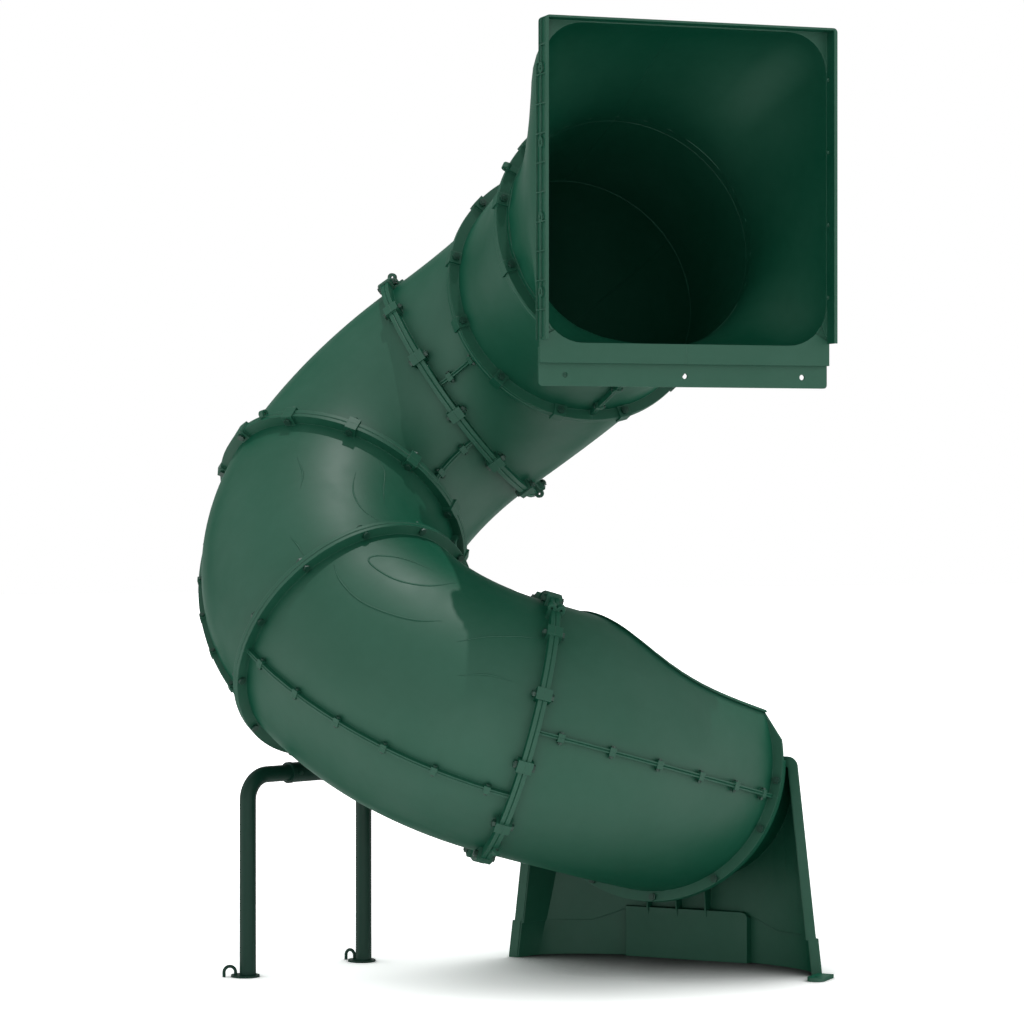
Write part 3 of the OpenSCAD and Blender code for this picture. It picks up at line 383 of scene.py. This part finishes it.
def dust_group():
    group, given, out = make_group(
        "SettledDust",
        [("Vector", "NodeSocketVector", (0, 0, 0)), ("Amount", "NodeSocketFloat", 0.2)],
        [("Mask", "NodeSocketFloat")],
    )
    shape = group.nodes.new("ShaderNodeNewGeometry")
    split = group.nodes.new("ShaderNodeSeparateXYZ")
    group.links.new(shape.outputs["Normal"], split.inputs[0])
    level = range_node(group, split.outputs["Z"], LEVEL_FROM, LEVEL_TO)
    grainy = noise_node(group, given.outputs["Vector"], SPECK_SCALE, 5.0, 0.7)
    lying = math_node(group, "MULTIPLY", level, range_node(group, grainy, SPECK_FROM, SPECK_TO))
    mask = math_node(group, "MULTIPLY", lying, given.outputs["Amount"], True)
    group.links.new(mask, out.inputs["Mask"])
    return group


GROUPS = {"skin": moulded_skin_group(), "corner": corner_wear_and_highlight_group(), "dust": dust_group()}
print("node groups:", [g.name for g in GROUPS.values()])

# %% [markdown]
# ## The finishes
# All the finishes are greens of one family. The shells are satin plastic that mirrors the
# white room faintly. The steel posts have a thicker, darker powder coat, and the bolts a thin
# one. The fine pebbles of such a skin hide each other at a glancing angle, so the mirror part
# fades there, where a plain shader would brighten. Each material places the shared groups with
# its own values and keeps its own shader.

# %% Build a finish
FADE_STARTS = 0.2
FADE_ENDS = 0.75
GLANCING_SHARE = 0.06
DUST_ROUGHNESS = 0.4
RELIEF_STRENGTH = 0.5


def place_group(tree, key, **inputs):
    node = tree.nodes.new("ShaderNodeGroup")
    node.node_tree = GROUPS[key]
    for name, value in inputs.items():
        node.inputs[name.replace("_", " ")].default_value = value
    return node


def coated(name, colour, pale_and_highlight, dusty, cloud, gloss, pebble, bump, corner_radius, wear_and_highlight, dust, specular=0.5):
    material = bpy.data.materials.new(name)
    material.use_nodes = True
    tree = material.node_tree
    shader = tree.nodes["Principled BSDF"]
    facing = tree.nodes.new("ShaderNodeLayerWeight")
    facing.inputs["Blend"].default_value = 0.5
    glancing = specular * GLANCING_SHARE
    fade = range_node(tree, facing.outputs["Facing"], FADE_STARTS, FADE_ENDS, specular, glancing)
    fade.node.interpolation_type = "SMOOTHSTEP"
    shader.inputs["Specular IOR Level"].default_value = specular
    tree.links.new(fade, shader.inputs["Specular IOR Level"])
    where = tree.nodes.new("ShaderNodeTexCoord").outputs["Object"]
    skin = place_group(tree, "skin", Colour=colour, Pale_Colour=pale_and_highlight, Cloud=cloud, Gloss=gloss, Pebble=pebble)
    corner = place_group(tree, "corner", Radius=corner_radius, Wear=wear_and_highlight)
    settled = place_group(tree, "dust", Amount=dust)
    for node in (skin, corner, settled):
        tree.links.new(where, node.inputs["Vector"])
    # Corners take the pale colour: partly real rubbing, partly a painted edge highlight
    worn_and_highlit = mix_colour(tree, corner.outputs["Mask"], skin.outputs["Colour"], pale_and_highlight)
    final = mix_colour(tree, settled.outputs["Mask"], worn_and_highlit, dusty)
    tree.links.new(final, shader.inputs["Base Color"])
    dull = math_node(tree, "MULTIPLY", settled.outputs["Mask"], DUST_ROUGHNESS)
    rough = math_node(tree, "ADD", skin.outputs["Roughness"], dull)
    tree.links.new(rough, shader.inputs["Roughness"])
    relief = tree.nodes.new("ShaderNodeBump")
    relief.inputs["Strength"].default_value = RELIEF_STRENGTH
    relief.inputs["Distance"].default_value = bump
    tree.links.new(skin.outputs["Height"], relief.inputs["Height"])
    tree.links.new(corner.outputs["Normal"], relief.inputs["Normal"])
    tree.links.new(relief.outputs[0], shader.inputs["Normal"])
    return material


GREEN = (0.0042, 0.075, 0.040, 1)
# This pale green is the random cloudy tone of the skin and also the painted edge highlight on corners
CLOUD_AND_HIGHLIGHT_GREEN = (0.03, 0.13, 0.085, 1)
DUST = (0.09, 0.13, 0.11, 1)

shell_plastic = coated(
    "shell_plastic", GREEN, CLOUD_AND_HIGHLIGHT_GREEN, DUST,
    cloud=0.25, gloss=0.53, pebble=0.25, bump=0.00012, corner_radius=0.0022, wear_and_highlight=0.8, dust=0.06,
)
post_coat = coated(
    "post_coat", (0.004, 0.032, 0.02, 1), (0.012, 0.06, 0.04, 1), DUST,
    cloud=0.2, gloss=0.42, pebble=0.6, bump=0.0001, corner_radius=0.001, wear_and_highlight=0.4, dust=0.05, specular=0.2,
)
bolt_coat = coated(
    "bolt_coat", (0.006, 0.045, 0.027, 1), (0.03, 0.1, 0.07, 1), DUST,
    cloud=0.2, gloss=0.38, pebble=0.4, bump=0.0001, corner_radius=0.0008, wear_and_highlight=0.8, dust=0.15,
)

# %% Dress the nodes
FINISH = {"green_plastic": shell_plastic, "coated_steel": post_coat, "zinc_hardware": bolt_coat}
SLOT_OF = {part["node"]: part["material_slot"] for part in frame["record"]["subparts"]}

for name, obj in nodes.items():
    obj.data.materials.clear()
    obj.data.materials.append(FINISH[SLOT_OF[name]])
print("dressed", {slot: sum(1 for s in SLOT_OF.values() if s == slot) for slot in FINISH})

# %% [markdown]
# ## Raised lines on the bends
# The mould leaves a few low raised lines on the outside of the bends, which are about as high
# as a thick thread. Cutting them into the solids would cost many faces for a detail that only
# the light shows. They could be a bump in the material, but a real raised line also shows at a
# grazing angle. So each is a thin tube, half sunk in the skin. It follows a smooth path that is
# given in degrees along the bend and round the tube.

# %% Where each bend starts
# These are the sizes of the solids, in metres
HOOD_END = Vector((0, 0.361, 0.343))
SLOPE = math.radians(18)
COLLAR = 0.375
BEND_RADIUS = 0.495
BEND_ANGLE = math.radians(55)
FIRST_ROLL = math.radians(60)
NEXT_ROLL = math.radians(-30)
BENDS = 5


def turned(vector, axis, angle):
    return Matrix.Rotation(angle, 3, axis) @ vector


def bend_starts():
    """Each bend's first point, the way the tube runs there, and the side it bends to."""
    ahead = Vector((0, math.cos(SLOPE), -math.sin(SLOPE)))
    down = Vector((0, -math.sin(SLOPE), -math.cos(SLOPE)))
    place = HOOD_END + ahead * COLLAR
    inward = turned(down, ahead, FIRST_ROLL)
    sine, cosine = math.sin(BEND_ANGLE), math.cos(BEND_ANGLE)
    starts = []
    for _ in range(BENDS):
        starts.append((place, ahead, inward))
        place = place + BEND_RADIUS * ((1 - cosine) * inward + sine * ahead)
        ahead, inward = sine * inward + cosine * ahead, cosine * inward - sine * ahead
        inward = turned(inward, ahead, NEXT_ROLL)
    return starts


STARTS = bend_starts()
print("the last bend starts at", [round(v, 3) for v in STARTS[-1][0]])

# %% Draw a raised line on a bend's skin
SKIN_RADIUS = 0.311
LINE_HALF_WIDTH = 0.0021
LINE_STEPS = 10


def on_skin(bend, along, around):
    place, ahead, inward = STARTS[bend - 1]
    along, around = math.radians(along), math.radians(around)
    outward = math.sin(along) * ahead - math.cos(along) * inward
    middle = place + BEND_RADIUS * inward
    reach = BEND_RADIUS + SKIN_RADIUS * math.cos(around)
    return middle + reach * outward + SKIN_RADIUS * math.sin(around) * ahead.cross(inward)


def smooth_path(points):
    """Points on a smooth curve through the given ones."""
    ends = [2 * Vector(points[0]) - Vector(points[1])] + [Vector(q) for q in points]
    ends.append(2 * Vector(points[-1]) - Vector(points[-2]))
    path = []
    for before, start, end, after in zip(ends, ends[1:], ends[2:], ends[3:]):
        for step in range(LINE_STEPS):
            t = step / LINE_STEPS
            pull_start, pull_end = (end - before) / 2, (after - start) / 2
            path.append(
                start * (1 - 3 * t**2 + 2 * t**3) + end * (3 * t**2 - 2 * t**3)
                + pull_start * (t - 2 * t**2 + t**3) + pull_end * (t**3 - t**2)
            )
    path.append(ends[-2])
    return path


def raised_line(name, bend, points):
    path = smooth_path(points)
    curve = bpy.data.curves.new(name, "CURVE")
    curve.dimensions = "3D"
    curve.bevel_depth = LINE_HALF_WIDTH
    curve.bevel_resolution = 2
    spline = curve.splines.new("POLY")
    spline.points.add(len(path) - 1)
    for i, (point, (along, around)) in enumerate(zip(spline.points, path)):
        point.co = (*on_skin(bend, along, around), 1)
        point.radius = min(1, 0.15 + min(i, len(path) - 1 - i) / LINE_STEPS)
    curve.materials.append(shell_plastic)
    line = bpy.data.objects.new(name, curve)
    scene.collection.objects.link(line)
    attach(line, "root")


# %% The raised lines of the third and fourth bend
RAISED_LINES = {
    3: [
        [(14, 85), (21, 89), (27, 88)],
        [(19, 113), (30, 111.5), (40, 113.5), (47, 118)],
        [(8, 122), (15, 126.5), (33, 126)],
        [(43, 77.5), (47, 78.5), (51, 78)],
    ],
    4: [
        [(3.5, 55), (8, 51.5), (14, 50), (20, 52), (26, 56), (31, 62)],
        [(27, 87), (23, 76), (17, 69), (11, 67), (7.5, 68), (7.5, 72.5), (11, 80), (15, 84), (19, 86)],
        [(36, 56), (41, 64), (47, 70), (52, 73)],
        [(39, 42), (44, 47), (49, 48)],
    ],
}
for bend, lines in RAISED_LINES.items():
    for number, points in enumerate(lines, 1):
        raised_line(f"bend_{bend}_raised_line_{number}", bend, points)
    print("bend", bend, "has", len(lines), "raised lines")

# %% [markdown]
# ## The last settings
# Blender's usual view transform softens and dulls a plain green, so it is set to the one that
# shows each colour as it is written.

# %% Colour handling
scene.view_settings.view_transform = "Standard"
